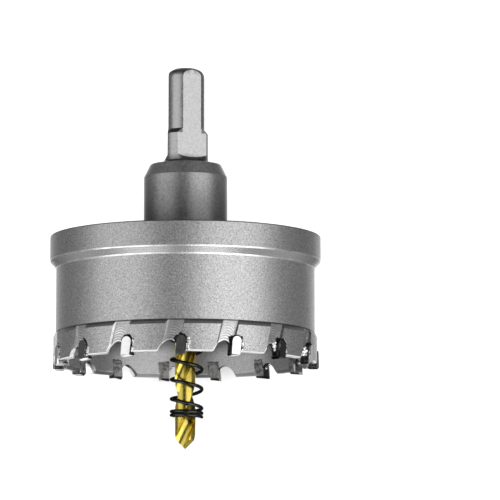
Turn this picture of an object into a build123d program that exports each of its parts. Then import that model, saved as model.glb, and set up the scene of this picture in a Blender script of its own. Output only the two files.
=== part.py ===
from build123d import *
import math
import os

# Carbide-tipped hole saw, 70 mm cutting diameter, with a three-flat 10 mm arbor.
# It is built about its own turning axis (axis +Z, t = 0 at the steel rim, shank up),
# then laid on its side: the axis lies along +Y, shank towards +Y, and the lowest line
# of the flange touches z = 0. All sizes are in millimetres.

# ---- driving dimensions --------------------------------------------------------------
TEETH = 15
PITCH_DEG = 360.0 / TEETH

R_CROWN = 34.43          # crown ring, outside
T_CROWN = 7.06           # crown ring height above the rim
R_BODY = 33.80           # thinner body above the crown
T_BAND = 8.32            # end of the chamfer from crown to body
T_BODY = 25.16           # end of the body, start of the flange chamfer
R_FLANGE = 35.42
T_FLANGE_LO = 26.95
T_FLANGE_HI = 33.53
R_INSIDE = 31.90         # bore of the cup
T_FLOOR = 26.00          # inner face of the floor plate
R_SPIGOT = 8.00          # arbor spigot through the floor plate

R_COLLAR = 10.92
T_COLLAR = 49.30
R_COLLAR_TOP = 9.30
T_COLLAR_TOP = 52.60
R_FLARE = 7.22
R_SHANK_LO = 5.92
T_FLARE = 53.52
T_SHOULDER_LO = 60.70
R_SHANK = 4.98           # 10 mm shank
T_SHOULDER_HI = 61.90
T_SHANK_END = 78.10
FLAT_DIST = 4.29         # three flats, distance from the axis
FLAT_ANGLES = (24.9, 144.9, 264.9)
FLAT_CUTTER_R = 14.0
T_FLAT_LOW = 54.30

R_DRILL = 2.75           # 5.5 mm pilot drill
T_DRILL_TIP = -22.10
T_DRILL_END = 45.00
DRILL_LEAD = 36.0
DRILL_POINT_DEG = 91.0
DRILL_SHOULDER_R = 2.39    # the point's cone ends here, then a slim taper
DRILL_PHASE_DEG = 36.0
R_DRILL_BORE = 2.78
T_BORE_END = 45.60

SCREW_T = 41.50          # set screw axis height
SCREW_ANGLE = 144.9
R_SCREW = 2.95
R_SCREW_HOLE = 3.00
SCREW_OUT = 9.95         # outer end of the screw, from the axis
SCREW_IN = 2.80          # its inner end, just on the drill
HEX_AF = 3.0

WIRE_D = 0.92            # ejector spring
R_COIL = 3.98
SPRING_X = 0.35          # it hangs loose on the drill, a little to the right

# tooth, in its own frame: x tangential (+ away from the cut), z along the axis
TIP_HALF_W = 1.215
TIP_RAKE_DEG = 5.0
TIP_BACK_DEG = 7.5
TIP_EDGE_T = -1.05       # cutting edge
TIP_HEEL_T = -0.75
TIP_TOP_T = 4.00
R_TIP_OUT = 35.00
R_TIP_IN = 31.72
R_TIP_STEP = 33.00       # inside this radius the tip is square at its top
TIP_IN_LEAN_DEG = 9.0
TIP_IN_TOP_T = 3.85
TIP_OUT_BEVEL = 0.50
TIP_IN_BEVEL = 0.70
POCKET_BEVEL = 0.50
FLUTE_SLANT_DEG = 14.8
FLUTE_W = 4.15
R_FLUTE_FLOOR = 33.66    # at its upper end; it steps down towards the rim
FLUTE_STEP = 0.036       # each cut is this much deeper than the one above
FLUTE_CUTS = 9
FLUTE_FEED = 0.68
FLUTE_X_AT_3 = -2.83     # middle of the flute, 3 mm above the rim
FLUTE_TOP_T = 8.22


# ---- helpers --------------------------------------------------------------------------
def rounded_wire(points):
    """Closed wire in the XY plane from (x, y, radius) corners."""
    n = len(points)
    cut = []
    for i in range(n):
        ax, ay, _ = points[i - 1]
        bx, by, r = points[i]
        cx, cy, _ = points[(i + 1) % n]
        ux, uy = ax - bx, ay - by
        vx, vy = cx - bx, cy - by
        lu, lv = math.hypot(ux, uy), math.hypot(vx, vy)
        ux, uy, vx, vy = ux / lu, uy / lu, vx / lv, vy / lv
        if r <= 0:
            cut.append(((bx, by), None, (bx, by)))
            continue
        half = math.acos(max(-1.0, min(1.0, ux * vx + uy * vy))) / 2
        d = r / math.tan(half)
        mx, my = ux + vx, uy + vy
        lm = math.hypot(mx, my)
        mx, my = mx / lm, my / lm
        to_mid = r / math.sin(half) - r
        cut.append(((bx + ux * d, by + uy * d),
                    (bx + mx * to_mid, by + my * to_mid),
                    (bx + vx * d, by + vy * d)))
    edges = []
    for i in range(n):
        start, mid, end = cut[i]
        if mid is not None:
            edges.append(Edge.make_three_point_arc((*start, 0), (*mid, 0), (*end, 0)))
        nxt = cut[(i + 1) % n][0]
        if math.hypot(nxt[0] - end[0], nxt[1] - end[1]) > 1e-6:
            edges.append(Edge.make_line((*end, 0), (*nxt, 0)))
    return Wire(edges)


def turned(points):
    """Solid of revolution about Z from (r, t, radius) corners."""
    face = Face(rounded_wire(points))
    face = Plane.XZ * face
    return revolve(face, axis=Axis.Z)


def at_angle(shape, degrees):
    """A tool built at the front of the saw, turned to its place about the axis."""
    return Rot(0, 0, degrees) * shape


def slab(wire, r_in, r_out):
    """Prism with the (x, t) outline of wire, from radius r_in to r_out at the front."""
    face = Pos(0, -r_in, 0) * (Plane.XZ * Face(wire))
    return extrude(face, amount=r_out - r_in, dir=(0, -1, 0))


def one(shape):
    """The single solid of a boolean result."""
    found = shape.solids()
    assert len(found) == 1, len(found)
    return found[0]


# ---- tooth outlines -------------------------------------------------------------------
def tip_side(t, deg, x_mid):
    return x_mid + (t - 1.5) * math.tan(math.radians(deg))


def tip_outline(grow=0.0, below=0.0):
    """Leaning pill: flat at the cutting end, half round in its pocket."""
    lo_l, lo_r = TIP_EDGE_T - below, TIP_HEEL_T - below
    left_lo = (tip_side(lo_l, TIP_RAKE_DEG, -TIP_HALF_W) - grow, lo_l)
    right_lo = (tip_side(lo_r, TIP_BACK_DEG, TIP_HALF_W) + grow, lo_r)
    t_arc = TIP_TOP_T - TIP_HALF_W
    left_hi = (tip_side(t_arc, TIP_RAKE_DEG, -TIP_HALF_W) - grow, t_arc)
    right_hi = (tip_side(t_arc, TIP_BACK_DEG, TIP_HALF_W) + grow, t_arc)
    top = ((left_hi[0] + right_hi[0]) / 2 + 0.08, TIP_TOP_T + grow)
    return Wire([
        Edge.make_line((*left_lo, 0), (*right_lo, 0)),
        Edge.make_line((*right_lo, 0), (*right_hi, 0)),
        Edge.make_three_point_arc((*right_hi, 0), (*top, 0), (*left_hi, 0)),
        Edge.make_line((*left_hi, 0), (*left_lo, 0)),
    ])


def tip_root_outline(below=0.0):
    """Inner part of the tip: square at its top, and it leans away from the cut."""
    lo_l, lo_r = TIP_EDGE_T - below, TIP_HEEL_T - below
    t_turn = 1.90
    x_turn = tip_side(t_turn, TIP_RAKE_DEG, -TIP_HALF_W)
    x_heel = tip_side(TIP_HEEL_T, TIP_BACK_DEG, TIP_HALF_W)
    lean = math.tan(math.radians(TIP_IN_LEAN_DEG))
    return rounded_wire([
        (tip_side(lo_l, TIP_RAKE_DEG, -TIP_HALF_W), lo_l, 0),
        (x_heel - below * lean, lo_r, 0),
        (x_heel + (TIP_IN_TOP_T - 0.12 - TIP_HEEL_T) * lean, TIP_IN_TOP_T - 0.12, 0.35),
        (x_turn + (TIP_IN_TOP_T - t_turn) * 0.26, TIP_IN_TOP_T, 0.30),
        (x_turn, t_turn, 0),
    ])


def carbide_tip():
    """One cutting tip at the front: ground outside, inside and across its end."""
    body = one(slab(tip_outline(), R_TIP_STEP, R_TIP_OUT + 0.3)
               + slab(tip_root_outline(), R_TIP_IN - 0.3, R_TIP_STEP))
    # outer ground face: full radius at the cutting corner, falling away behind it and
    # towards the pocket
    x_edge = tip_side(TIP_EDGE_T, TIP_RAKE_DEG, -TIP_HALF_W)
    y_edge = -math.sqrt(R_TIP_OUT ** 2 - x_edge ** 2)
    outer = Plane(origin=(x_edge, y_edge, TIP_EDGE_T),
                  z_dir=Vector(0.060, -1, 0.018).normalized())
    body = split(body, bisect_by=outer, keep=Keep.BOTTOM)
    inner = Plane(origin=(x_edge, -R_TIP_IN, TIP_EDGE_T),
                  z_dir=Vector(0.030, 1, 0.014).normalized())
    body = split(body, bisect_by=inner, keep=Keep.BOTTOM)
    # both corners of the cutting end are bevelled, so the cut is widest in between
    out_bevel = Plane(origin=(x_edge, y_edge, TIP_EDGE_T + TIP_OUT_BEVEL),
                      z_dir=Vector(0, -0.743, -0.669))
    body = split(body, bisect_by=out_bevel, keep=Keep.BOTTOM)
    in_bevel = Plane(origin=(x_edge, -R_TIP_IN, TIP_EDGE_T + TIP_IN_BEVEL),
                     z_dir=Vector(0, 0.682, -0.731))
    body = split(body, bisect_by=in_bevel, keep=Keep.BOTTOM)
    return one(body)


# ---- saw cup --------------------------------------------------------------------------
def saw_cup():
    cup = turned([
        (R_INSIDE, T_FLOOR, 1.6),
        (R_INSIDE, 0.75, 0.45),
        (R_INSIDE + 0.75, 0.0, 0),
        (R_CROWN - 0.40, 0.0, 0),
        (R_CROWN, 0.40, 0),
        (R_CROWN, T_CROWN, 0.12),
        (R_BODY, T_BAND, 0.25),
        (R_BODY, T_BODY, 0.60),
        (R_FLANGE, T_FLANGE_LO, 0.55),
        (R_FLANGE, T_FLANGE_HI, 0.32),
        (R_SPIGOT, T_FLANGE_HI, 0),
        (R_SPIGOT, T_FLOOR, 0),
    ])
    x_rake = tip_side(1.75, TIP_RAKE_DEG, -TIP_HALF_W) + 0.03
    arch = Wire([
        Edge.make_line((-TIP_HALF_W - 0.26, -3.2, 0), (x_rake, 1.75, 0)),
        Edge.make_three_point_arc((x_rake, 1.75, 0), (-1.86, 2.66, 0), (-2.93, 2.97, 0)),
        Edge.make_three_point_arc((-2.93, 2.97, 0), (-4.86, 1.89, 0), (-5.98, 0.0, 0)),
        Edge.make_line((-5.98, 0.0, 0), (-7.00, -3.2, 0)),
        Edge.make_line((-7.00, -3.2, 0), (-TIP_HALF_W - 0.26, -3.2, 0)),
    ])
    gullet = slab(arch, R_INSIDE - 3.0, R_CROWN + 3.0)
    pocket = (slab(tip_outline(below=3.0), R_TIP_STEP, R_CROWN + 3.0)
              + slab(tip_root_outline(below=3.0), R_INSIDE - 3.0, R_TIP_STEP))
    # bevelled mouth of the tip's pocket, its inner end well inside the pocket
    r_bevel = R_CROWN - 0.50
    slope = 2 * POCKET_BEVEL
    mouth = loft([
        Face(tip_outline(grow=-0.3 * slope, below=3.3)).moved(
            Location((0, -r_bevel + 0.3, 0), (90, 0, 0))),
        Face(tip_outline(grow=slope, below=3.3)).moved(
            Location((0, -r_bevel - 1.0, 0), (90, 0, 0))),
    ])
    # slanted milled flute in the outside of the crown, ahead of the tip: its left wall is
    # a 45 degree slope, and its floor is left by short cuts that step down to the rim
    left, right = -FLUTE_W / 2 + 0.45, FLUTE_W / 2 + 0.35
    rise = R_CROWN + 1.5 - R_FLUTE_FLOOR
    flute_face = Face(rounded_wire([
        (left, -R_FLUTE_FLOOR, 0.12),
        (right, -R_FLUTE_FLOOR, 0.12),
        (right + 0.10, -R_CROWN - 1.5, 0),
        (left - rise, -R_CROWN - 1.5, 0),
    ]))
    flute = extrude(Pos(0, 0, -6.0) * flute_face, amount=12.5, dir=(0, 0, 1))
    cut_r = (right - left) / 2 - 0.04
    s_top = (FLUTE_TOP_T - 3.0) / math.cos(math.radians(FLUTE_SLANT_DEG)) - 0.50
    for k in range(FLUTE_CUTS):
        floor = R_FLUTE_FLOOR - FLUTE_STEP * (k + 1)
        disc = Cylinder(cut_r, R_CROWN + 2.0 - floor, align=(Align.CENTER, Align.CENTER, Align.MIN))
        flute = flute + Pos((left + right) / 2, -floor, s_top - k * FLUTE_FEED - cut_r) * (
            Rot(90, 0, 0) * disc)
    flute = Pos(FLUTE_X_AT_3, 0, 3.0) * Rot(0, FLUTE_SLANT_DEG, 0) * flute
    # the flute ends square to the axis, in the chamfer above the crown
    flute = one(flute & (Pos(0, 0, FLUTE_TOP_T) * Box(
        60, 120, 40, align=(Align.CENTER, Align.CENTER, Align.MAX))))
    tool = one(gullet + pocket + mouth + flute)
    return one(cup - [at_angle(tool, i * PITCH_DEG) for i in range(TEETH)])


# ---- arbor ----------------------------------------------------------------------------
def shank_arbor():
    arbor = turned([
        (0, T_FLOOR, 0),
        (R_SPIGOT, T_FLOOR, 0),
        (R_SPIGOT, T_FLANGE_HI, 0),
        (R_COLLAR, T_FLANGE_HI, 0),
        (R_COLLAR, T_COLLAR, 0.15),
        (R_COLLAR_TOP, T_COLLAR_TOP, 0.20),
        (R_FLARE, T_COLLAR_TOP, 0),
        (R_SHANK_LO, T_FLARE, 0.20),
        (R_SHANK_LO, T_SHOULDER_LO, 0.15),
        (R_SHANK, T_SHOULDER_HI, 0.12),
        (R_SHANK, T_SHANK_END - 0.90, 2.40),
        (3.05, T_SHANK_END, 0.12),
        (0, T_SHANK_END, 0),
    ])
    tools = []
    for a in FLAT_ANGLES:
        # an end cut whose foot is an arc with a 45 degree ramp, then straight to the end
        reach = 4.0
        foot = Cone(FLAT_CUTTER_R, FLAT_CUTTER_R + reach, reach,
                    align=(Align.CENTER, Align.CENTER, Align.MIN))
        foot = Pos(0, -FLAT_DIST, T_FLAT_LOW + FLAT_CUTTER_R) * Rot(90, 0, 0) * foot
        # the ramp stops at the collar's top face
        foot = one(foot & (Pos(0, 0, T_COLLAR_TOP) * Box(
            60, 60, 60, align=(Align.CENTER, Align.CENTER, Align.MIN))))
        upper = Pos(0, -FLAT_DIST, T_FLAT_LOW + FLAT_CUTTER_R) * Box(
            20, reach, 30, align=(Align.CENTER, Align.MAX, Align.MIN))
        tools += [at_angle(foot, a), at_angle(upper, a)]
    arbor = arbor - tools
    bore = Pos(0, 0, T_FLOOR - 1) * Cylinder(
        R_DRILL_BORE, T_BORE_END - T_FLOOR + 1, align=(Align.CENTER, Align.CENTER, Align.MIN))
    bore_end = Pos(0, 0, T_BORE_END) * Cone(
        R_DRILL_BORE, 0.001, R_DRILL_BORE * math.tan(math.radians(31)),
        align=(Align.CENTER, Align.CENTER, Align.MIN))
    mouth = Pos(0, 0, T_FLOOR) * Cone(
        R_DRILL_BORE + 0.5, R_DRILL_BORE, 0.5, align=(Align.CENTER, Align.CENTER, Align.MIN))
    hole = Pos(0, 0, SCREW_T) * Rot(90, 0, 0) * Cylinder(
        R_SCREW_HOLE, R_COLLAR + 2, align=(Align.CENTER, Align.CENTER, Align.MIN))
    sink = Pos(0, -R_COLLAR - 0.3, SCREW_T) * Rot(-90, 0, 0) * Cone(
        R_SCREW_HOLE + 1.0, R_SCREW_HOLE - 0.2, 1.2, align=(Align.CENTER, Align.CENTER, Align.MIN))
    return one(arbor - [bore, bore_end, mouth,
                        at_angle(hole, SCREW_ANGLE), at_angle(sink, SCREW_ANGLE)])


# ---- pilot drill ----------------------------------------------------------------------
def pilot_drill():
    web = 0.62
    r_flute = 2.30
    heel = R_DRILL - 0.05
    base = Circle(heel)
    flutes = [Pos(s * (web + r_flute), 0) * Circle(r_flute) for s in (-1, 1)]
    # narrow full-diameter margins on the leading edge of each land
    ring = Circle(R_DRILL) - Circle(heel - 0.2)
    margins = [Rot(0, 0, 50 + k * 180) * Pos(1.9, 0.35) * Rectangle(2.4, 0.70) for k in (0, 1)]
    section = base + [ring & m for m in margins]
    section = section - flutes
    face = section.faces().sort_by(SortBy.AREA)[-1]
    t_low, t_twist = T_DRILL_TIP - 0.5, 22.0
    length = t_twist - t_low
    turn = 360.0 * length / DRILL_LEAD
    twisted = Solid.extrude_linear_with_rotation(
        face, center=(0, 0, 0), normal=(0, 0, length), angle=turn)
    twisted = Pos(0, 0, t_low) * twisted
    # conical point, wider than the drill so that it only grinds the end
    cone_r = R_DRILL + 1.0
    t_corner = T_DRILL_TIP + DRILL_SHOULDER_R / math.tan(math.radians(DRILL_POINT_DEG / 2))
    point = turned([
        (0, T_DRILL_TIP, 0),
        (DRILL_SHOULDER_R, t_corner, 0.4),
        (cone_r, t_corner + (cone_r - DRILL_SHOULDER_R) * 5.1, 0),
        (cone_r, T_DRILL_END, 0),
        (0, T_DRILL_END, 0),
    ])
    # plain shank, whose cone runs the flutes out
    shank = turned([
        (0, 12.0, 0),
        (0.5, 12.0, 0),
        (R_DRILL, 21.0, 1.5),
        (R_DRILL, T_DRILL_END - 0.4, 0),
        (R_DRILL - 0.4, T_DRILL_END, 0),
        (0, T_DRILL_END, 0),
    ])
    ground = one(twisted & point)
    return Rot(0, 0, DRILL_PHASE_DEG) * one(ground + shank)


# ---- set screw ------------------------------------------------------------------------
def set_screw():
    body = turned([
        (0, SCREW_IN, 0),
        (R_SCREW - 0.9, SCREW_IN, 0),
        (R_SCREW, SCREW_IN + 0.9, 0),
        (R_SCREW, SCREW_OUT - 0.45, 0),
        (R_SCREW - 0.45, SCREW_OUT, 0),
        (0, SCREW_OUT, 0),
    ])
    socket = Pos(0, 0, SCREW_OUT - 3.2) * extrude(
        RegularPolygon(HEX_AF / 2, 6, major_radius=False), amount=4)
    drill_cone = Pos(0, 0, SCREW_OUT - 3.2) * Rot(180, 0, 0) * Cone(
        HEX_AF / 2, 0.001, 0.8, align=(Align.CENTER, Align.CENTER, Align.MIN))
    body = body - [socket, drill_cone]
    body = Pos(0, 0, SCREW_T) * Rot(90, 0, 0) * body
    return one(at_angle(body, SCREW_ANGLE))


# ---- ejector spring ---------------------------------------------------------------------
# height of the wire's centre line where each coil passes the front, by turn number
SPRING_TURNS = (-0.25, 0.75, 1.25, 1.75, 2.25, 2.75, 3.25, 4.25, 5.25, 6.25, 7.25, 8.25,
                8.75, 9.25, 10.25)
SPRING_T = (-13.72, -12.69, -12.22, -11.38, -8.90, -6.38, -3.82, 1.38, 6.55, 11.72, 16.89,
            22.00, 23.60, 24.42, 25.38)


def spring_height(n):
    """Monotone cubic through the coil heights."""
    xs, ys = SPRING_TURNS, SPRING_T
    slopes = [(ys[i + 1] - ys[i]) / (xs[i + 1] - xs[i]) for i in range(len(xs) - 1)]
    tang = [slopes[0]]
    for i in range(1, len(xs) - 1):
        a, b = slopes[i - 1], slopes[i]
        tang.append(2 * a * b / (a + b))
    tang.append(slopes[-1])
    i = 0
    while i < len(xs) - 2 and n > xs[i + 1]:
        i += 1
    h = xs[i + 1] - xs[i]
    s = (n - xs[i]) / h
    return ((2 * s ** 3 - 3 * s ** 2 + 1) * ys[i] + (s ** 3 - 2 * s ** 2 + s) * h * tang[i]
            + (3 * s ** 2 - 2 * s ** 3) * ys[i + 1] + (s ** 3 - s ** 2) * h * tang[i + 1])


def ejector_spring():
    """Left-hand coil spring round the drill, with closed coils at both ends."""
    per_turn = 16
    first, last = SPRING_TURNS[0], SPRING_TURNS[-1]
    count = int(round((last - first) * per_turn))
    pts = []
    for i in range(count + 1):
        n = first + (last - first) * i / count
        a = -2 * math.pi * n - math.pi / 2
        pts.append((SPRING_X + R_COIL * math.cos(a), R_COIL * math.sin(a), spring_height(n)))
    path = Edge.make_spline([Vector(*p) for p in pts])
    start = Plane(origin=path @ 0, z_dir=path % 0)
    solid = one(sweep(start * Circle(WIRE_D / 2), path=path, is_frenet=True))
    print("spring volume", round(solid.volume, 2), "expected",
          round(path.length * math.pi * WIRE_D ** 2 / 4, 2))
    return solid


# ---- laying down and writing ------------------------------------------------------------
LAY = Pos(0, -(T_SHANK_END + T_DRILL_TIP) / 2, R_FLANGE) * Rot(-90, 0, 0)


def write(shape, node):
    placed = LAY * shape
    placed.label = node
    export_step(placed, "parts/" + node + ".step")
    box = placed.bounding_box()
    print(node, round(placed.volume, 1), "mm3",
          [round(v, 2) for v in (box.min.X, box.min.Y, box.min.Z, box.max.X, box.max.Y, box.max.Z)])


os.makedirs("parts", exist_ok=True)
write(saw_cup(), "saw_cup")
write(shank_arbor(), "shank_arbor")
write(pilot_drill(), "pilot_drill")
write(set_screw(), "set_screw")
write(ejector_spring(), "ejector_spring")
tip = carbide_tip()
for k in range(TEETH):
    write(at_angle(tip, k * PITCH_DEG), "carbide_tip_%02d" % (k + 1))
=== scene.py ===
import bpy
import bmesh
import math
from mathutils import Matrix, Vector


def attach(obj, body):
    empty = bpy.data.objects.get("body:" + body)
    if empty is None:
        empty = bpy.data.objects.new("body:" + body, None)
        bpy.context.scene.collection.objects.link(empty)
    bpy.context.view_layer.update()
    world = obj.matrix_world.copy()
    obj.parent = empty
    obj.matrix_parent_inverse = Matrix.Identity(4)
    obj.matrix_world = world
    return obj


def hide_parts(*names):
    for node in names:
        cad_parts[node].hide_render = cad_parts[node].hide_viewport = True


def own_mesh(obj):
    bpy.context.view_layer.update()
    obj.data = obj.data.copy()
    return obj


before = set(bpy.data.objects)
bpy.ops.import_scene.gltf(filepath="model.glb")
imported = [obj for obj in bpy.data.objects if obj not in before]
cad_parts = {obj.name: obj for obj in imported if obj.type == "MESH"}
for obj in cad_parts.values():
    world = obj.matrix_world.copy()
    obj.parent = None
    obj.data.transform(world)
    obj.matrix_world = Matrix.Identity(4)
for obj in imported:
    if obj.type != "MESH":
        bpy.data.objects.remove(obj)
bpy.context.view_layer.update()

# The saw lies on its side. Its turning axis runs along +Y at this height, and t, the
# height above the steel rim, is y + Y_SHIFT. Everything here is in metres.
AXIS_Z = 0.03542
Y_SHIFT = 0.0280
PITCH = 24.0


# ---- camera ---------------------------------------------------------------------------
def add_camera():
    roll = math.radians(1.16)
    pitch = math.radians(7.37)
    dist = 1.309
    right = Vector((math.cos(roll), 0.0, -math.sin(roll)))
    back = Vector((math.cos(pitch) * math.sin(roll), -math.sin(pitch),
                   math.cos(pitch) * math.cos(roll)))
    up = back.cross(right)
    target = Vector((0.0, 0.03024 - Y_SHIFT, AXIS_Z)) + right * 0.01689
    data = bpy.data.cameras.new("camera")
    data.lens = 360.0
    data.sensor_width = 36.0
    data.clip_start = 0.05
    data.clip_end = 20.0
    cam = bpy.data.objects.new("camera", data)
    rot = Matrix((right, up, back)).transposed()
    cam.matrix_world = Matrix.Translation(target + back * dist) @ rot.to_4x4()
    bpy.context.collection.objects.link(cam)
    bpy.context.scene.camera = cam


add_camera()


# ---- node helpers ---------------------------------------------------------------------
class Nodes:
    """Small helper that adds and joins shader nodes."""

    def __init__(self, tree):
        self.tree = tree
        self.nodes = tree.nodes
        self.links = tree.links

    def add(self, kind, **props):
        node = self.nodes.new(kind)
        for key, value in props.items():
            setattr(node, key, value)
        return node

    def put(self, value, socket):
        if hasattr(value, "is_output") or hasattr(value, "links"):
            self.links.new(value, socket)
        else:
            socket.default_value = value

    def math(self, op, a, b=None, c=None, clamp=False):
        node = self.add("ShaderNodeMath", operation=op, use_clamp=clamp)
        self.put(a, node.inputs[0])
        if b is not None:
            self.put(b, node.inputs[1])
        if c is not None:
            self.put(c, node.inputs[2])
        return node.outputs[0]

    def remap(self, value, lo, hi, to_lo=0.0, to_hi=1.0, smooth=False):
        node = self.add("ShaderNodeMapRange",
                        interpolation_type="SMOOTHSTEP" if smooth else "LINEAR")
        self.put(value, node.inputs["Value"])
        for name, v in (("From Min", lo), ("From Max", hi), ("To Min", to_lo), ("To Max", to_hi)):
            self.put(v, node.inputs[name])
        return node.outputs["Result"]

    def mix(self, factor, a, b):
        node = self.add("ShaderNodeMix", data_type="RGBA")
        self.put(factor, node.inputs[0])
        self.put(a, node.inputs[6])
        self.put(b, node.inputs[7])
        return node.outputs[2]

    def mixf(self, factor, a, b):
        node = self.add("ShaderNodeMix", data_type="FLOAT")
        self.put(factor, node.inputs[0])
        self.put(a, node.inputs[2])
        self.put(b, node.inputs[3])
        return node.outputs[0]

    def noise(self, vector, scale, detail=2.0, rough=0.5, distort=0.0):
        node = self.add("ShaderNodeTexNoise")
        self.put(vector, node.inputs["Vector"])
        node.inputs["Scale"].default_value = scale
        node.inputs["Detail"].default_value = detail
        node.inputs["Roughness"].default_value = rough
        node.inputs["Distortion"].default_value = distort
        return node.outputs["Fac"]

    def grey(self, value):
        node = self.add("ShaderNodeCombineColor")
        for i in range(3):
            self.put(value, node.inputs[i])
        return node.outputs[0]

    def saw_coords(self):
        """Object position, height above the rim, distance from the axis and angle."""
        tex = self.add("ShaderNodeTexCoord")
        pos = tex.outputs["Object"]
        sep = self.add("ShaderNodeSeparateXYZ")
        self.put(pos, sep.inputs[0])
        x, y, z = sep.outputs
        up = self.math("SUBTRACT", z, AXIS_Z)
        t = self.math("ADD", y, Y_SHIFT)
        r = self.math("SQRT", self.math("ADD", self.math("MULTIPLY", x, x),
                                        self.math("MULTIPLY", up, up)))
        ang = self.math("ARCTAN2", x, up)
        return pos, t, r, ang, x, up

    def bump(self, height, distance, strength=1.0, normal=None):
        node = self.add("ShaderNodeBump")
        node.inputs["Strength"].default_value = strength
        node.inputs["Distance"].default_value = distance
        self.put(height, node.inputs["Height"])
        if normal is not None:
            self.put(normal, node.inputs["Normal"])
        return node.outputs[0]


def new_material(name):
    mat = bpy.data.materials.new(name)
    mat.use_nodes = True
    mat.node_tree.nodes.clear()
    n = Nodes(mat.node_tree)
    out = n.add("ShaderNodeOutputMaterial")
    bsdf = n.add("ShaderNodeBsdfPrincipled")
    n.links.new(bsdf.outputs[0], out.inputs["Surface"])
    return mat, n, bsdf


def wear(node_name, material):
    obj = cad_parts[node_name]
    obj = obj if hasattr(obj, "material_slots") else bpy.data.objects[node_name]
    if not obj.material_slots:
        obj.data.materials.append(material)
    for slot in obj.material_slots:
        slot.material = material
    return obj


# ---- materials ------------------------------------------------------------------------
MM = 0.001
CUP_TONE, INSIDE_TONE = 0.55, 0.63


def folded_angle(n, ang):
    """Angle in the nearest tooth's own frame, in radians."""
    deg = n.math("MULTIPLY", ang, 180.0 / math.pi)
    turns = n.math("FRACT", n.math("ADD", n.math("DIVIDE", n.math("ADD", deg, 3.5), PITCH), 10.5))
    local = n.math("SUBTRACT", n.math("MULTIPLY", turns, PITCH), PITCH / 2 + 3.5)
    return n.math("MULTIPLY", local, math.pi / 180.0)


def tooth_coords(n, r, ang):
    a = folded_angle(n, ang)
    return n.math("MULTIPLY", r, n.math("SINE", a)), n.math("MULTIPLY", r, n.math("COSINE", a))


def times(n, *factors):
    out = factors[0]
    for f in factors[1:]:
        out = n.math("MULTIPLY", out, f)
    return out


def near_arc(n, xl, t, cx, cy, radius, soft_in, soft_out):
    dx = n.math("SUBTRACT", xl, cx * MM)
    dt = n.math("SUBTRACT", t, cy * MM)
    d = n.math("SQRT", n.math("ADD", n.math("MULTIPLY", dx, dx), n.math("MULTIPLY", dt, dt)))
    off = n.math("ABSOLUTE", n.math("SUBTRACT", d, radius * MM))
    return n.remap(off, soft_in * MM, soft_out * MM, 1.0, 0.0)


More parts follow.
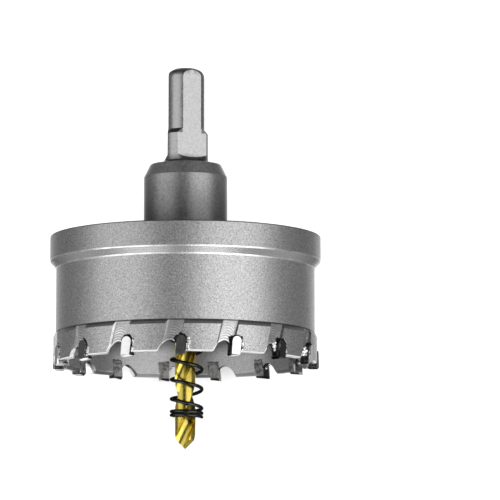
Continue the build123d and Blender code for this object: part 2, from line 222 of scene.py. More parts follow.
def blasted_steel():
    """The cup: blasted outside, milled flutes, brazed pockets, a plainer turned inside."""
    mat, n, bsdf = new_material("blasted_steel")
    pos, t, r, ang, x, up = n.saw_coords()
    xl, yl = tooth_coords(n, r, ang)

    fine = n.noise(pos, 4100.0, 1.0, 0.5)
    pits = n.noise(pos, 2300.0, 2.0, 0.6)
    broad = n.noise(pos, 70.0, 3.0, 0.5)
    speckle = n.math("ADD", n.remap(fine, 0.30, 0.70, -0.30, 0.30),
                     n.remap(pits, 0.32, 0.68, -0.22, 0.22))
    shade = n.math("ADD", n.math("ADD", speckle, 1.0), n.remap(broad, 0.3, 0.7, -0.03, 0.03))
    # the flange is a touch darker than the cup below it
    flange = n.remap(t, 26.6 * MM, 27.2 * MM)
    outer = n.math("MULTIPLY", shade, n.mixf(flange, CUP_TONE, CUP_TONE * 0.88))

    # inside: turned and only lightly blasted, so paler and smoother
    inside = n.math("MULTIPLY", n.math("MAXIMUM", n.remap(r, 32.15 * MM, 32.0 * MM), n.math(
        "MULTIPLY", n.remap(t, 0.80 * MM, 0.74 * MM), n.remap(r, 33.0 * MM, 32.8 * MM))),
        n.remap(t, 26.3 * MM, 26.1 * MM))
    stretched = n.add("ShaderNodeVectorMath", operation="MULTIPLY")
    n.put(pos, stretched.inputs[0])
    stretched.inputs[1].default_value = (1.0, 3.0, 1.0)
    turned_marks = n.noise(stretched.outputs[0], 900.0, 3.0, 0.6)
    inside_tone_and_depth_shade = n.math("ADD", n.math("ADD", n.math("MULTIPLY", speckle, 0.5), 1.0),
                       n.remap(turned_marks, 0.35, 0.65, -0.06, 0.06))
    # the cup is painted darker towards its depths: painted shade
    inside_tone_and_depth_shade = n.math("MULTIPLY", inside_tone_and_depth_shade, n.remap(n.math(
        "ADD", t, n.remap(broad, 0.3, 0.7, -1.0 * MM, 1.0 * MM)), 5.8 * MM, 9.2 * MM,
        INSIDE_TONE, INSIDE_TONE * 0.30))
    base = n.mixf(inside, outer, n.math("MINIMUM", inside_tone_and_depth_shade, 1.0))
    rough = n.mixf(inside, n.remap(pits, 0.3, 0.7, 0.37, 0.45), 0.50)
    # cut walls between the inside and the outside
    cut_wall = times(n, n.remap(r, 32.05 * MM, 32.2 * MM), n.remap(r, 33.3 * MM, 33.1 * MM),
                     n.remap(t, 0.76 * MM, 0.85 * MM), n.remap(t, 9.0 * MM, 8.5 * MM))
    base = n.mixf(cut_wall, base, n.remap(pits, 0.3, 0.7, 0.20, 0.34))

    # the brazed seam round each tip's root
    lean = n.math("MULTIPLY", t, 0.1096)
    seam_x = n.math("SUBTRACT", n.math("ABSOLUTE", n.math("SUBTRACT", xl, n.math("SUBTRACT", lean, 0.16 * MM))), 1.22 * MM)
    seam_t = n.math("SUBTRACT", t, 3.95 * MM)
    seam = n.math("MAXIMUM", seam_x, seam_t)
    seam_line = times(n, n.remap(n.math("ADD", seam, n.remap(n.noise(pos, 800.0, 2.0, 0.6), 0.3, 0.7, -0.20 * MM, 0.20 * MM)),
                                 0.34 * MM, 0.16 * MM), n.remap(r, 32.6 * MM, 32.4 * MM))
    base = n.mixf(seam_line, base, n.remap(turned_marks, 0.35, 0.65, 0.10, 0.34))

    # turned faces: the crown's dark chamfer, the flange's edge and lower chamfer, the rim's
    is_out = n.remap(r, 33.0 * MM, 33.2 * MM)
    # the crown's chamfer is painted dark, darkest at its upper edge: painted shade on a face turned upwards
    crown_band = times(n, is_out, n.remap(t, 7.00 * MM, 7.08 * MM), n.remap(t, 8.40 * MM, 8.26 * MM))
    band_shade = n.remap(t, 7.55 * MM, 7.95 * MM, 0.62, 0.30)
    base = n.mixf(crown_band, base, n.math("MULTIPLY", band_shade, n.remap(pits, 0.3, 0.7, CUP_TONE * 0.85, CUP_TONE * 1.15)))
    top_edge = times(n, n.remap(t, 33.20 * MM, 33.30 * MM), n.remap(r, 34.9 * MM, 35.1 * MM))
    base = n.mixf(top_edge, base, CUP_TONE * 0.30)
    under = times(n, is_out, n.remap(t, 25.0 * MM, 25.1 * MM), n.remap(t, 27.1 * MM, 27.0 * MM),
                  n.remap(r, 33.82 * MM, 33.86 * MM))
    rough = n.mixf(under, rough, 0.24)
    base = n.mixf(under, base, n.remap(fine, 0.3, 0.7, CUP_TONE * 0.95, CUP_TONE * 1.15))
    # edges painted bright: painted highlights on both sides of the flange's chamfer, and on the rim's outer edge
    bright = n.remap(n.noise(pos, 300.0, 2.0, 0.5), 0.3, 0.7, 0.66, 0.92)
    flange_rim_highlight = None
    for er, et, reach in ((35.42, 26.95, 0.29), (33.80, 25.16, 0.30), (34.43, 0.0, 0.38)):
        dr = n.math("SUBTRACT", r, er * MM)
        dt = n.math("SUBTRACT", t, et * MM)
        near = n.math("SQRT", n.math("ADD", n.math("MULTIPLY", dr, dr), n.math("MULTIPLY", dt, dt)))
        flange_rim_highlight = n.remap(near, reach * MM, (reach - 0.08) * MM)
        base = n.mixf(flange_rim_highlight, base, bright)
    in_bevel = times(n, n.remap(r, 33.0 * MM, 32.8 * MM), n.remap(t, 0.80 * MM, 0.74 * MM))
    base = n.mixf(in_bevel, base, n.remap(pits, 0.3, 0.7, CUP_TONE * 0.45, CUP_TONE * 0.60))

    # milled flute: sloped left wall and a floor of short stepped cuts
    c, s = math.cos(math.radians(14.8)), math.sin(math.radians(14.8))
    fx = n.math("ADD", xl, 2.83 * MM)
    ft = n.math("SUBTRACT", t, 3.0 * MM)
    across = n.math("SUBTRACT", n.math("MULTIPLY", fx, c), n.math("MULTIPLY", ft, s))
    along = n.math("ADD", n.math("MULTIPLY", fx, s), n.math("MULTIPLY", ft, c))
    left, right, floor = -1.625, 2.425, 33.66
    slope_line = n.math("SUBTRACT", left * MM, n.math("SUBTRACT", yl, floor * MM))
    in_flute = times(n, is_out, n.remap(t, 8.04 * MM, 7.94 * MM),
                     n.remap(n.math("SUBTRACT", across, slope_line), -0.06 * MM, -0.01 * MM),
                     n.remap(across, (right + 0.04) * MM, (right - 0.02) * MM),
                     n.remap(r, 34.40 * MM, 34.34 * MM))
    strip = n.math("MULTIPLY", in_flute, n.remap(across, (left + 0.10) * MM, (left - 0.04) * MM))
    floor_mask = n.math("SUBTRACT", in_flute, strip, clamp=True)
    mid = (left + right) / 2
    wq = n.math("SUBTRACT", across, mid * MM)
    root = n.math("SQRT", n.math("MAXIMUM", n.math(
        "SUBTRACT", (1.985 * MM) ** 2, n.math("MULTIPLY", wq, wq)), 1e-10))
    wob = n.noise(pos, 700.0, 1.0, 0.5)
    arc_pos = n.math("ADD", n.math("SUBTRACT", along, root), n.remap(wob, 0.3, 0.7, -0.05 * MM, 0.05 * MM))
    step = n.math("DIVIDE", n.math("SUBTRACT", arc_pos, 3.018 * MM), 0.68 * MM)
    phase = n.math("FRACT", n.math("ADD", step, 40.0))
    ridge = n.math("ABSOLUTE", n.math("SUBTRACT", phase, 0.5))      # 0.5 at the steps
    ripple = n.remap(ridge, 0.12, 0.50, 0.0, 1.0, smooth=True)
    scratch = n.noise(pos, 1500.0, 3.0, 0.7)
    uneven = n.noise(pos, 420.0, 2.0, 0.5)
    highlight_strength = n.math("MULTIPLY", n.remap(uneven, 0.35, 0.65, 0.35, 1.0), n.remap(t, 7.6 * MM, 5.6 * MM, 0.15, 1.0))
    # the steps between the cuts are painted as light lines: painted highlights along the step edges, over the
    # milled marks
    floor_marks_and_highlights = n.math("ADD", n.remap(scratch, 0.3, 0.7, CUP_TONE * 0.74, CUP_TONE * 1.00),
                  n.math("MULTIPLY", n.math("MULTIPLY", ripple, highlight_strength), 0.58))
    floor_marks_and_highlights = n.math("ADD", floor_marks_and_highlights, n.remap(fine, 0.3, 0.7, -0.07, 0.07), clamp=True)
    base = n.mixf(floor_mask, base, floor_marks_and_highlights)
    base = n.mixf(strip, base, n.remap(scratch, 0.3, 0.7, 0.42, 0.66))
    rough = n.mixf(strip, rough, 0.30)
    rough = n.mixf(floor_mask, rough, 0.36)
    # the right wall is a thin shaded edge
    edge_r = times(n, is_out, n.remap(t, 8.04 * MM, 7.94 * MM), n.remap(r, 34.50 * MM, 34.44 * MM),
                   n.remap(across, (right - 0.18) * MM, (right - 0.08) * MM),
                   n.remap(across, (right + 0.12) * MM, (right + 0.04) * MM), n.remap(t, 3.0 * MM, 3.4 * MM))
    base = n.mixf(edge_r, base, n.remap(scratch, 0.3, 0.7, 0.12, 0.38))

    # painted highlight: a bright line along the gullet's edge, on the outside
    gullet_edge_highlight = n.math("MAXIMUM",
                  n.math("MULTIPLY", near_arc(n, xl, t, -1.8952, -1.1438, 4.2420, 0.10, 0.22),
                         n.remap(xl, -2.7 * MM, -2.9 * MM)),
                  n.math("MULTIPLY", near_arc(n, xl, t, -2.8740, 1.1616, 1.8092, 0.10, 0.22),
                         n.remap(xl, -2.9 * MM, -2.7 * MM)))
    gullet_edge_highlight = times(n, gullet_edge_highlight, n.remap(r, 33.25 * MM, 33.32 * MM), n.remap(t, 0.1 * MM, 0.3 * MM),
                 n.remap(xl, -0.9 * MM, -1.2 * MM), n.remap(wob, 0.30, 0.42))
    base = n.mixf(gullet_edge_highlight, base, n.remap(scratch, 0.3, 0.7, 0.76, 1.0))
    rough = n.mixf(gullet_edge_highlight, rough, 0.30)

    # braze and flux round each tip's pocket: dark, partly flux and partly painted shade in the pocket's gap, with
    # a few bright beads
    u = n.math("MINIMUM", t, 2.785 * MM)
    ax = n.math("SUBTRACT", xl, n.math("MULTIPLY", n.math("SUBTRACT", u, 1.5 * MM), 0.1096))
    at = n.math("SUBTRACT", t, u)
    pill = n.math("SUBTRACT", n.math("SQRT", n.math(
        "ADD", n.math("MULTIPLY", ax, ax), n.math("MULTIPLY", at, at))), 1.22 * MM)
    blot = n.noise(pos, 560.0, 3.0, 0.65)
    ragged = n.math("ADD", pill, n.remap(blot, 0.35, 0.65, -0.50 * MM, 0.40 * MM))
    flux_and_pocket_shade = times(n, n.remap(ragged, 0.62 * MM, 0.44 * MM), n.remap(r, 33.05 * MM, 33.2 * MM),
                 n.remap(t, 0.10 * MM, 0.35 * MM))
    wall = n.math("MAXIMUM",
                  n.math("MULTIPLY", near_arc(n, xl, t, -1.8952, -1.1438, 4.2420, 0.03, 0.08),
                         n.remap(xl, -2.7 * MM, -2.9 * MM)),
                  n.math("MULTIPLY", near_arc(n, xl, t, -2.8740, 1.1616, 1.8092, 0.03, 0.08),
                         n.remap(xl, -2.9 * MM, -2.7 * MM)))
    # the gullet's walls are painted dark: painted shade
    gullet_wall_shade = times(n, wall, n.remap(r, 34.3 * MM, 34.1 * MM), n.remap(n.math(
        "ADD", xl, n.remap(blot, 0.3, 0.7, -0.8 * MM, 0.8 * MM)), -4.6 * MM, -3.4 * MM))
    flux_and_pocket_shade = n.math("MAXIMUM", flux_and_pocket_shade, gullet_wall_shade)
    seed = n.add("ShaderNodeTexWhiteNoise", noise_dimensions="1D")
    n.put(n.math("FLOOR", n.math("DIVIDE", n.math(
        "ADD", n.math("MULTIPLY", ang, 180.0 / math.pi), 15.5), PITCH)), seed.inputs["W"])
    bead = n.noise(pos, 1100.0, 2.0, 0.6)
    bead_mask = times(n, n.remap(pill, 1.25 * MM, 0.95 * MM), n.remap(bead, 0.53, 0.56),
                      n.remap(ax, 0.8 * MM, 1.1 * MM), n.remap(t, 3.4 * MM, 2.4 * MM), is_out,
                      n.remap(t, 0.1 * MM, 0.3 * MM))
    base = n.mixf(flux_and_pocket_shade, base, n.remap(scratch, 0.3, 0.7, 0.008, 0.055))
    base = n.mixf(bead_mask, base, 0.95)
    rough = n.mixf(flux_and_pocket_shade, rough, 0.50)
    rough = n.mixf(bead_mask, rough, 0.22)
    n.put(n.grey(base), bsdf.inputs["Base Color"])
    # the painted edge highlights are also made less metallic
    edge_highlights_mask = n.math("MAXIMUM", gullet_edge_highlight, flange_rim_highlight)
    n.put(n.mixf(edge_highlights_mask, n.mixf(inside, 0.97, 0.90), 0.52), bsdf.inputs["Metallic"])
    n.put(rough, bsdf.inputs["Roughness"])
    # the bore's turning marks run round it, so its gloss is drawn out along the axis
    along_axis = n.add("ShaderNodeCombineXYZ")
    along_axis.inputs[1].default_value = 1.0
    n.put(along_axis.outputs[0], bsdf.inputs["Tangent"])
    n.put(inside, bsdf.inputs["Anisotropic"])
    grain = n.math("ADD", n.math("MULTIPLY", fine, 0.45), n.math("MULTIPLY", pits, 0.55))
    relief = n.math("ADD", n.math("MULTIPLY", grain, n.mixf(inside, 1.0, 0.5)),
                    n.math("MULTIPLY", n.math("MULTIPLY", ripple, floor_mask), 0.5))
    relief = n.math("ADD", relief, n.math("MULTIPLY", n.math("MULTIPLY", bead, bead_mask), 3.0))
    n.put(n.bump(relief, 0.00006, 0.7), bsdf.inputs["Normal"])
    return mat


def dark_steel():
    """The arbor: a dark heat-treated collar, and a bright ground shank."""
    mat, n, bsdf = new_material("dark_steel")
    pos, t, r, ang, x, up = n.saw_coords()
    fine = n.noise(pos, 3400.0, 1.0, 0.5)
    coarse = n.noise(pos, 1500.0, 2.0, 0.6)
    grain = n.math("ADD", n.math("MULTIPLY", fine, 0.5), n.math("MULTIPLY", coarse, 0.5))
    broad = n.noise(pos, 160.0, 3.0, 0.5)
    is_shank = n.remap(t, 52.60 * MM, 52.66 * MM)
    cone = n.math("MULTIPLY", n.remap(t, 49.26 * MM, 49.34 * MM),
                  n.remap(t, 52.66 * MM, 52.60 * MM))
    # the collar darkens towards the flange
    collar_darkening = n.remap(n.math("ADD", t, n.remap(broad, 0.3, 0.7, -1.2 * MM, 1.2 * MM)),
                    34.0 * MM, 48.0 * MM, 0.075, 0.34)
    base = n.mixf(cone, collar_darkening, 0.33)
    base = n.mixf(is_shank, base, 0.475)
    base = n.math("MULTIPLY", base, n.mixf(is_shank, n.remap(grain, 0.36, 0.64, 0.74, 1.26),
                                           n.remap(grain, 0.36, 0.64, 0.86, 1.14)))
    # turned ends, steps and the neck's foot are darkened: painted shade on the shoulder and the neck, which face
    # towards the shank's end, and in the crease at the neck's foot; the shank's end is darkened too
    shoulder = times(n, n.remap(t, 60.55 * MM, 60.75 * MM), n.remap(t, 62.05 * MM, 61.85 * MM),
                     n.remap(r, 5.0 * MM, 5.1 * MM))
    neck = times(n, is_shank, n.remap(n.math("ADD", t, n.remap(broad, 0.3, 0.7, -0.4 * MM, 0.4 * MM)),
                                      55.2 * MM, 53.6 * MM))
    foot = times(n, is_shank, n.remap(t, 52.85 * MM, 52.70 * MM))
    tip_end = times(n, n.remap(t, 75.9 * MM, 77.6 * MM), n.remap(r, 4.30 * MM, 4.34 * MM))
    dark = n.math("MAXIMUM", n.math("MULTIPLY", neck, 0.65), n.math(
        "MAXIMUM", n.math("MULTIPLY", shoulder, 0.75), n.math("MAXIMUM", foot, n.math("MULTIPLY", tip_end, 0.6))))
    base = n.mixf(dark, base, 0.04)
    n.put(n.grey(n.math("MINIMUM", base, 1.0)), bsdf.inputs["Base Color"])
    n.put(n.mixf(is_shank, 0.90, 0.96), bsdf.inputs["Metallic"])
    n.put(n.math("ADD", n.mixf(is_shank, 0.38, 0.30), n.remap(coarse, 0.3, 0.7, -0.04, 0.04)),
          bsdf.inputs["Roughness"])
    n.put(n.bump(grain, 0.00004, 0.6), bsdf.inputs["Normal"])
    return mat


def gold_coat():
    """Titanium nitride on ground steel: fine grinding marks along the helix."""
    mat, n, bsdf = new_material("gold_coated_steel")
    pos, t, r, ang, x, up = n.saw_coords()
    streak = n.noise(pos, 1500.0, 3.0, 0.6)
    # grinding marks follow the flute's lead
    twist = n.math("SUBTRACT", ang, n.math("MULTIPLY", t, 2 * math.pi / (36.0 * MM)))
    comb = n.add("ShaderNodeCombineXYZ")
    n.put(n.math("MULTIPLY", n.math("SINE", twist), 60.0), comb.inputs[0])
    n.put(n.math("MULTIPLY", n.math("COSINE", twist), 60.0), comb.inputs[1])
    n.put(n.math("MULTIPLY", r, 9000.0), comb.inputs[2])
    marks = n.noise(comb.outputs[0], 1.0, 2.0, 0.6)
    tone = n.math("ADD", n.math("MULTIPLY", streak, 0.4), n.math("MULTIPLY", marks, 0.6))
    n.put(n.mix(n.remap(tone, 0.35, 0.65), (0.66, 0.50, 0.070, 1), (0.86, 0.70, 0.14, 1)),
          bsdf.inputs["Base Color"])
    bsdf.inputs["Metallic"].default_value = 1.0
    n.put(n.remap(streak, 0.3, 0.7, 0.16, 0.27), bsdf.inputs["Roughness"])
    bsdf.inputs["Coat Weight"].default_value = 0.35
    bsdf.inputs["Coat IOR"].default_value = 1.6
    bsdf.inputs["Coat Roughness"].default_value = 0.12
    n.put(n.bump(tone, 0.00003, 0.5), bsdf.inputs["Normal"])
    return mat


def black_wire():
    mat, n, bsdf = new_material("spring_wire")
    pos, t, r, ang, x, up = n.saw_coords()
    grain = n.noise(pos, 2000.0, 2.0, 0.5)
    drawn = n.noise(pos, 700.0, 2.0, 0.5)
    n.put(n.grey(n.remap(drawn, 0.3, 0.7, 0.030, 0.065)), bsdf.inputs["Base Color"])
    bsdf.inputs["Metallic"].default_value = 0.9
    bsdf.inputs["Specular Tint"].default_value = (0.10, 0.10, 0.10, 1.0)
    n.put(n.remap(grain, 0.3, 0.7, 0.14, 0.24), bsdf.inputs["Roughness"])
    n.put(n.bump(grain, 0.00002, 0.4), bsdf.inputs["Normal"])
    return mat


def black_steel():
    mat, n, bsdf = new_material("black_steel")
    tex = n.add("ShaderNodeTexCoord")
    grain = n.noise(tex.outputs["Object"], 1800.0, 2.0, 0.5)
    n.put(n.grey(n.remap(grain, 0.3, 0.7, 0.03, 0.07)), bsdf.inputs["Base Color"])
    bsdf.inputs["Metallic"].default_value = 0.6
    n.put(n.remap(grain, 0.3, 0.7, 0.30, 0.42), bsdf.inputs["Roughness"])
    n.put(n.bump(grain, 0.00003, 0.5), bsdf.inputs["Normal"])
    return mat


def carbide(name, face, end):
    """Carbide tips: mirror-ground outside and at the cutting end, sintered and stained inside.
    The ground faces and cutting ends are painted lighter and darker from tip to tip: mostly painted reflection
    and shade."""
    mat, n, bsdf = new_material(name)
    pos, t, r, ang, x, up = n.saw_coords()
    xl, yl = tooth_coords(n, r, ang)
    grain = n.noise(pos, 2600.0, 2.0, 0.6)
    flow = n.noise(pos, 800.0, 3.0, 0.7, 1.2)
    outside = n.remap(r, 34.40 * MM, 34.44 * MM)
    cutting_end = n.math("MULTIPLY", n.remap(t, -0.30 * MM, -0.36 * MM), n.remap(r, 34.44 * MM, 34.40 * MM))
    ground = n.math("MAXIMUM", outside, cutting_end)
    inner = n.math("MULTIPLY", n.remap(r, 32.3 * MM, 32.1 * MM), n.remap(t, -0.32 * MM, -0.28 * MM))
    # the rake face is painted near black: painted shade in the gap beside the tip
    rake = n.remap(flow, 0.35, 0.65, 0.015, 0.12)
    # braze has run over the inner face in streaks
    stained = n.remap(n.noise(pos, 620.0, 3.0, 0.65, 0.4), 0.36, 0.56, 0.20, 0.66)
    smoke = n.remap(n.noise(pos, 520.0, 3.0, 0.6), 0.3, 0.7, -0.12, 0.12)
    ground_face_tone = n.math("MINIMUM", n.math("MULTIPLY", n.math("ADD", smoke, 1.0), n.mixf(cutting_end, face, end)), 0.98)
    base = n.mixf(ground, rake, ground_face_tone)
    base = n.mixf(inner, base, stained)
    # the bevel at the inner end is painted near black
    inner_bevel_dark = times(n, n.remap(t, -0.28 * MM, -0.34 * MM), n.remap(r, 33.4 * MM, 33.2 * MM))
    base = n.mixf(inner_bevel_dark, base, n.remap(flow, 0.35, 0.65, 0.01, 0.10))
    base = n.math("ADD", base, n.remap(grain, 0.3, 0.7, -0.03, 0.03), clamp=True)
    n.put(n.grey(base), bsdf.inputs["Base Color"])
    bsdf.inputs["Metallic"].default_value = 1.0
    rough = n.mixf(ground, 0.36, n.remap(grain, 0.3, 0.7, 0.09, 0.15))
    n.put(n.mixf(inner, rough, 0.42), bsdf.inputs["Roughness"])
    relief = n.math("ADD", n.math("MULTIPLY", flow, n.mixf(ground, 1.0, 0.03)),
                    n.math("MULTIPLY", grain, 0.05))
    n.put(n.bump(relief, 0.00010, 0.5), bsdf.inputs["Normal"])
    return mat


STEEL = blasted_steel()
DARK = dark_steel()
GOLD = gold_coat()
WIRE = black_wire()
BLACK = black_steel()
CARBIDE = carbide("carbide", 0.97, 0.24)
CARBIDE_HALF_LIT = carbide("carbide_half_lit", 0.50, 0.06)
CARBIDE_SHADED = carbide("carbide_shaded", 0.17, 0.05)
CARBIDE_LIT_END = carbide("carbide_lit_end", 0.34, 0.95)
# tips whose ground faces and ends are painted darker and lighter: mostly painted reflection and shade
FACES = {0: CARBIDE_HALF_LIT, 2: CARBIDE_SHADED, 3: CARBIDE_HALF_LIT, 4: CARBIDE_SHADED, 6: CARBIDE_HALF_LIT, 8: CARBIDE_SHADED, 10: CARBIDE_HALF_LIT, 13: CARBIDE_LIT_END}
wear("saw_cup", STEEL)
wear("shank_arbor", DARK)
wear("pilot_drill", GOLD)
wear("set_screw", BLACK)
for k in range(15):
    wear("carbide_tip_%02d" % (k + 1), FACES.get(k, CARBIDE))


# ---- ejector spring -------------------------------------------------------------------
SPRING_TURNS = (-0.25, 0.75, 1.25, 1.75, 2.25, 2.75, 3.25, 4.25, 5.25, 6.25, 7.25, 8.25,
                8.75, 9.25, 10.25)
SPRING_T = (-13.72, -12.69, -12.22, -11.38, -8.90, -6.38, -3.82, 1.38, 6.55, 11.72, 16.89,
            22.00, 23.60, 24.42, 25.38)
SPRING_X = 0.00035


def spring_height(turn):
    xs, ys = SPRING_TURNS, SPRING_T
    slopes = [(ys[i + 1] - ys[i]) / (xs[i + 1] - xs[i]) for i in range(len(xs) - 1)]
    tang = [slopes[0]]
    for i in range(1, len(xs) - 1):
        a, b = slopes[i - 1], slopes[i]
        tang.append(2 * a * b / (a + b))
    tang.append(slopes[-1])
    i = 0
    while i < len(xs) - 2 and turn > xs[i + 1]:
        i += 1
    h = xs[i + 1] - xs[i]
    s = (turn - xs[i]) / h
    return ((2 * s ** 3 - 3 * s ** 2 + 1) * ys[i] + (s ** 3 - 2 * s ** 2 + s) * h * tang[i]
            + (3 * s ** 2 - 2 * s ** 3) * ys[i + 1] + (s ** 3 - s ** 2) * h * tang[i + 1])


def add_spring():
    coil_r, wire_r = 0.00398, 0.00046
    per_turn, around = 64, 16
    first, last = SPRING_TURNS[0], SPRING_TURNS[-1]
    count = int((last - first) * per_turn)
    centres = []
    for i in range(count + 1):
        turn = first + (last - first) * i / count
        # front is +Z of the lying saw; the coil goes round to the left as it climbs
        a = -2 * math.pi * turn
        centres.append(Vector((SPRING_X + coil_r * math.sin(a), spring_height(turn) / 1000 - Y_SHIFT,
                               AXIS_Z + coil_r * math.cos(a))))
    bm = bmesh.new()
    rings = []
    for i, c in enumerate(centres):
        ahead = centres[min(i + 1, count)] - centres[max(i - 1, 0)]
        ahead.normalize()
        out = Vector((c.x - SPRING_X, 0.0, c.z - AXIS_Z)).normalized()
        side = ahead.cross(out).normalized()
        out = side.cross(ahead).normalized()
        ends = min(i, count - i)
        ring_r = wire_r * (0.82 if ends == 0 else 1.0)
        rings.append([bm.verts.new(c + out * (ring_r * math.cos(q)) + side * (ring_r * math.sin(q)))
                      for q in (2 * math.pi * j / around for j in range(around))])
    for a, b in zip(rings, rings[1:]):
        for j in range(around):
            bm.faces.new((a[j], a[(j + 1) % around], b[(j + 1) % around], b[j]))
    bm.faces.new(rings[0])
    bm.faces.new(list(reversed(rings[-1])))
    bmesh.ops.recalc_face_normals(bm, faces=bm.faces)
    mesh = bpy.data.meshes.new("ejector_coil")
    bm.to_mesh(mesh)
    bm.free()
    for f in mesh.polygons:
        f.use_smooth = len(f.vertices) == 4
    mesh.materials.append(WIRE)
    obj = bpy.data.objects.new("ejector_coil", mesh)
    bpy.context.collection.objects.link(obj)
    return obj


spring = add_spring()
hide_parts("ejector_spring")
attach(spring, "saw")
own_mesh(spring)


# ---- beads of braze -------------------------------------------------------------------
def braze():
    """Bright braze metal that has run out round the tips."""
    mat, n, bsdf = new_material("braze")
    tex = n.add("ShaderNodeTexCoord")
    cloud = n.noise(tex.outputs["Object"], 1400.0, 3.0, 0.6)
    fine = n.noise(tex.outputs["Object"], 5200.0, 1.0, 0.5)
    n.put(n.grey(n.remap(cloud, 0.38, 0.56, 0.28, 1.0)), bsdf.inputs["Base Color"])
    bsdf.inputs["Metallic"].default_value = 0.75
    n.put(n.remap(cloud, 0.3, 0.7, 0.20, 0.36), bsdf.inputs["Roughness"])
    n.put(n.bump(fine, 0.00003, 0.6), bsdf.inputs["Normal"])
    return mat


BRAZE = braze()


def wave(a, b, c):
    return math.sin(a) * 0.5 + math.sin(b + 1.3) * 0.3 + math.sin(c + 2.6) * 0.2


HEAVY_RIGHT = (0, 5, 13)
HEAVY_LEFT = (2, 3, 13)
NONE_LEFT = (0, 1, 7, 14)


def add_beads():
    """Lumps along the right side of each tip, and in the corner of its gullet: a thin row on
    most teeth, a thick run of them on some."""
    bm = bmesh.new()
    for k in range(15):
        spots = []
        thick = k in HEAVY_RIGHT
        for j in range(7 if thick else 5):
            w = wave(k * 2.7 + j * 1.9, k * 5.1 + j * 3.3, k * 1.3 - j * 4.7)
            if k == 13 and j > 2:
                continue
            if thick:
                up = 0.30 + 0.50 * j + 0.16 * w
                spots.append((1.66 + 0.11 * up + 0.22 * w, up, 34.36, 0.46 + 0.14 * w,
                              0.34 - 0.12 * w, 0.16))
            elif w > -0.25:
                up = 0.35 + 0.62 * j + 0.12 * w
                spots.append((1.44 + 0.11 * up + 0.14 * w, up, 34.38, 0.17 + 0.10 * abs(w),
                              0.26 + 0.14 * w, 0.09))
        w = wave(k * 3.9, k * 7.7, k * 2.1)
        if k in HEAVY_LEFT:
            deep = 0.95 if k == 3 else 0.50
            spots.append((-1.80, 2.32, 33.45, 0.72, 0.62, deep))
            spots.append((-2.38, 2.86, 33.62, 0.62, 0.34, 0.30))
            spots.append((-1.62, 1.45, 33.35, 0.36, 0.46, 0.8 * deep))
            spots.append((-1.62, 3.10, 33.62, 0.40, 0.34, 0.24))
        elif k not in NONE_LEFT:
            big = 0.42 + 0.16 * w
            spots.append((-1.62, 2.05 + 0.25 * w, 33.15 + 0.2 * w, big, big * 1.15, big * 0.9))
            spots.append((-2.15 - 0.1 * w, 2.58, 33.45, 0.34, 0.20, 0.42))
        for xl, up, rad, sx, st, sr in spots:
            ball = bmesh.ops.create_icosphere(bm, subdivisions=3, radius=1.0)
            th = math.radians(k * PITCH) + math.atan2(xl, rad)
            out = Vector((math.sin(th), 0.0, math.cos(th)))
            side = Vector((math.cos(th), 0.0, -math.sin(th)))
            centre = Vector((0.0, up * MM - Y_SHIFT, AXIS_Z)) + out * (math.hypot(xl, rad) * MM)
            for v in ball["verts"]:
                q = v.co.copy()
                lump = 1.0 + 0.16 * wave(q.x * 5 + k, q.y * 6 + k * 2, q.z * 7 - k)
                v.co = centre + (side * (q.x * sx) + Vector((0, 1, 0)) * (q.y * st)
                                 + out * (q.z * sr)) * (MM * lump)
    mesh = bpy.data.meshes.new("braze_beads")
    bm.to_mesh(mesh)
    bm.free()
    for f in mesh.polygons:
        f.use_smooth = True
    mesh.materials.append(BRAZE)
    obj = bpy.data.objects.new("braze_beads", mesh)
    bpy.context.collection.objects.link(obj)
    return obj


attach(add_beads(), "saw")


# ---- floor and light ------------------------------------------------------------------
LEFT_BOX, RIGHT_BOX, BACK = 0.86, 1.28, 1.45
DARK_WALL, CEILING, SWEEP, FLANK = 0.05, 0.015, 0.07, 0.08
UP_DOWN = ((-1.0, 0.45), (-0.955, 0.85), (-0.82, 1.8), (-0.6, 2.2), (-0.35, 1.5), (-0.15, 1.0),
           (0.3, 1.0), (0.5, 0.7), (0.7, 0.15), (0.85, 0.05), (1.0, 0.05))


def add_floor():
    mesh = bpy.data.meshes.new("floor")
    s = 3.0
    mesh.from_pydata([(-s, -s, 0), (s, -s, 0), (s, s, 0), (-s, s, 0)], [], [(0, 1, 2, 3)])
    obj = bpy.data.objects.new("floor", mesh)
    bpy.context.collection.objects.link(obj)
    mat, n, bsdf = new_material("floor")
    bsdf.inputs["Base Color"].default_value = (0.9, 0.9, 0.9, 1)
    bsdf.inputs["Roughness"].default_value = 0.8
    bsdf.inputs["Specular IOR Level"].default_value = 0.1
    mesh.materials.append(mat)
    obj.visible_glossy = False


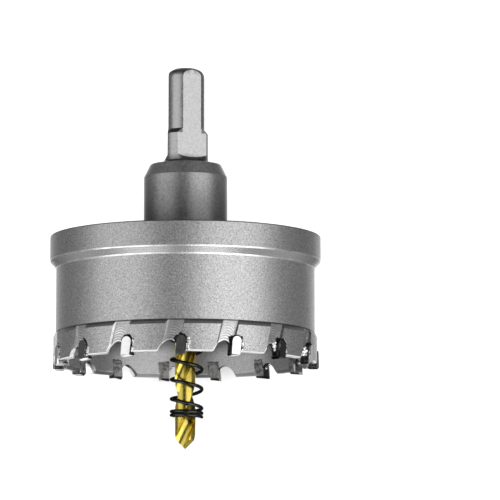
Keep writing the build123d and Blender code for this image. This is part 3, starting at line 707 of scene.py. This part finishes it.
def add_light():
    """A soft studio: bright all round for the floor, and for what the metal mirrors two tall
    soft boxes left and right, a pale sweep below and behind, and a dark ceiling."""
    world = bpy.data.worlds.new("studio")
    bpy.context.scene.world = world
    world.use_nodes = True
    world.cycles.sampling_method = "NONE"
    world.node_tree.nodes.clear()
    n = Nodes(world.node_tree)
    out = n.add("ShaderNodeOutputWorld")
    tex = n.add("ShaderNodeTexCoord")
    sep = n.add("ShaderNodeSeparateXYZ")
    n.put(tex.outputs["Generated"], sep.inputs[0])
    dx, dy, dz = sep.outputs
    azimuth = n.math("MULTIPLY", n.math("ARCTAN2", dx, dz), 180.0 / math.pi)

    def box(lo, hi, level, soft):
        inside = n.math("MULTIPLY", n.remap(azimuth, lo - soft, lo + soft, smooth=True),
                        n.remap(azimuth, hi + soft, hi - soft, smooth=True))
        return n.math("MULTIPLY", inside, level)

    aside = n.math("ABSOLUTE", azimuth)
    back = n.mixf(n.remap(dy, -0.08, 0.06), n.remap(aside, 160.0, 176.0, smooth=True),
                  n.remap(aside, 136.0, 174.0, smooth=True))
    back = times(n, back, n.remap(dy, -0.45, -0.25, smooth=True), BACK)
    walls = n.math("ADD", n.math("ADD", box(-85.0, -27.0, LEFT_BOX, 9.0),
                                 box(13.0, 75.0, RIGHT_BOX, 9.0)), back)
    walls = n.math("ADD", walls, n.remap(aside, 40.0, 100.0, 0.0, FLANK, smooth=True))
    fade = n.add("ShaderNodeValToRGB")
    n.put(n.remap(dy, -1.0, 1.0), fade.inputs[0])
    el = fade.color_ramp.elements
    while len(el) > 1:
        el.remove(el[-1])
    for i, (y, v) in enumerate(UP_DOWN):
        e = el[0] if i == 0 else el.new((y + 1) / 2)
        e.position = (y + 1) / 2
        e.color = (v / 3, v / 3, v / 3, 1)
    height = n.math("MULTIPLY", fade.outputs[0], 3.0)
    # low down the sweep is pale whichever way it is seen
    sweep = n.remap(dy, -0.25, -0.75, 0.0, SWEEP, smooth=True)
    lit = n.math("ADD", n.math("MULTIPLY", n.math("ADD", walls, n.math("ADD", DARK_WALL, sweep)),
                               height), CEILING)
    lp = n.add("ShaderNodeLightPath")
    bg_soft = n.add("ShaderNodeBackground")
    bg_soft.inputs[0].default_value = (1, 1, 1, 1)
    bg_soft.inputs[1].default_value = 2.0
    bg_gloss = n.add("ShaderNodeBackground")
    bg_gloss.inputs[0].default_value = (1, 1, 1, 1)
    n.put(lit, bg_gloss.inputs[1])
    mix = n.add("ShaderNodeMixShader")
    n.put(lp.outputs["Is Glossy Ray"], mix.inputs[0])
    n.links.new(bg_soft.outputs[0], mix.inputs[1])
    n.links.new(bg_gloss.outputs[0], mix.inputs[2])
    n.links.new(mix.outputs[0], out.inputs["Surface"])


add_floor()
add_light()
scene = bpy.context.scene
scene.view_settings.view_transform = "Standard"
scene.view_settings.look = "None"
